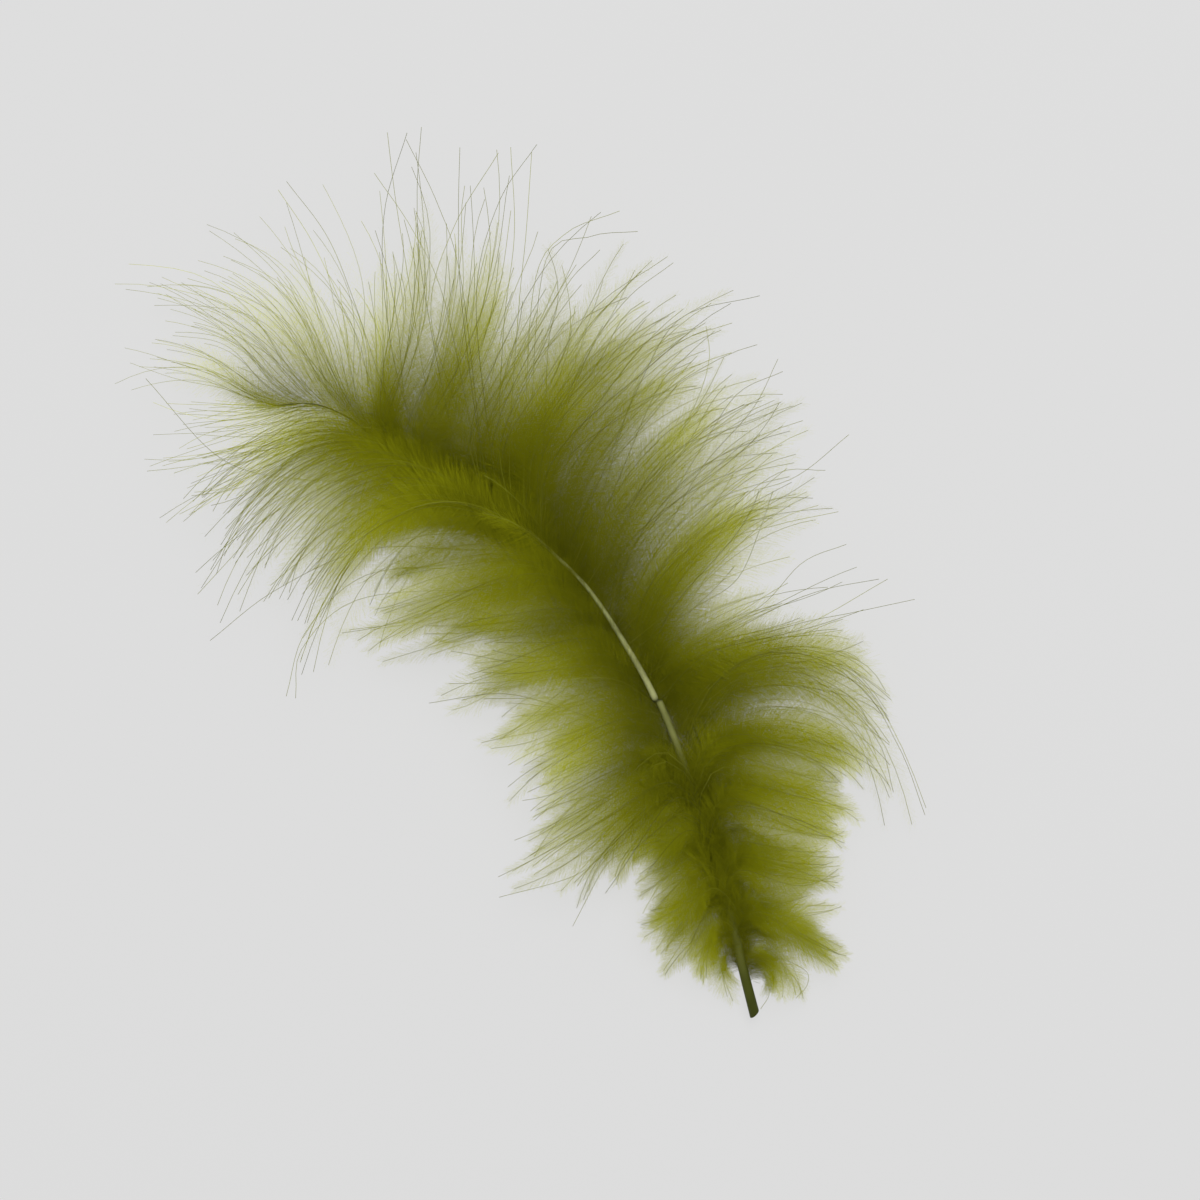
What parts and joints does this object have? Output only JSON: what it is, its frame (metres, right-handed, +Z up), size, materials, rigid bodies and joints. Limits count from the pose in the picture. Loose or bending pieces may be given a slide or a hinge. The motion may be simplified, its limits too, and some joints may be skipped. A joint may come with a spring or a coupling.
{
  "type": "marabou feather",
  "caption": "Fluffy dyed marabou feather lying flat: a bowed, kinked shaft with a cut quill end and parted locks of soft down ending in fine hair-like tips.",
  "frame": {"origin": "on the surface that the feather lies on, under the middle of its bounding box", "axes": "+Y along the feather from the quill's cut end towards the shaft's tip, +Z up from the surface, +X to the side that the long arching lock is on"},
  "size_m": [0.0892, 0.1412, 0.0194],
  "materials": {
    "dyed_down": "soft, matt, fluffy down dyed olive green, with finer and paler ends"
  },
  "bodies": {
    "root": {"feather": "dyed_down"}
  },
  "joints": []
}
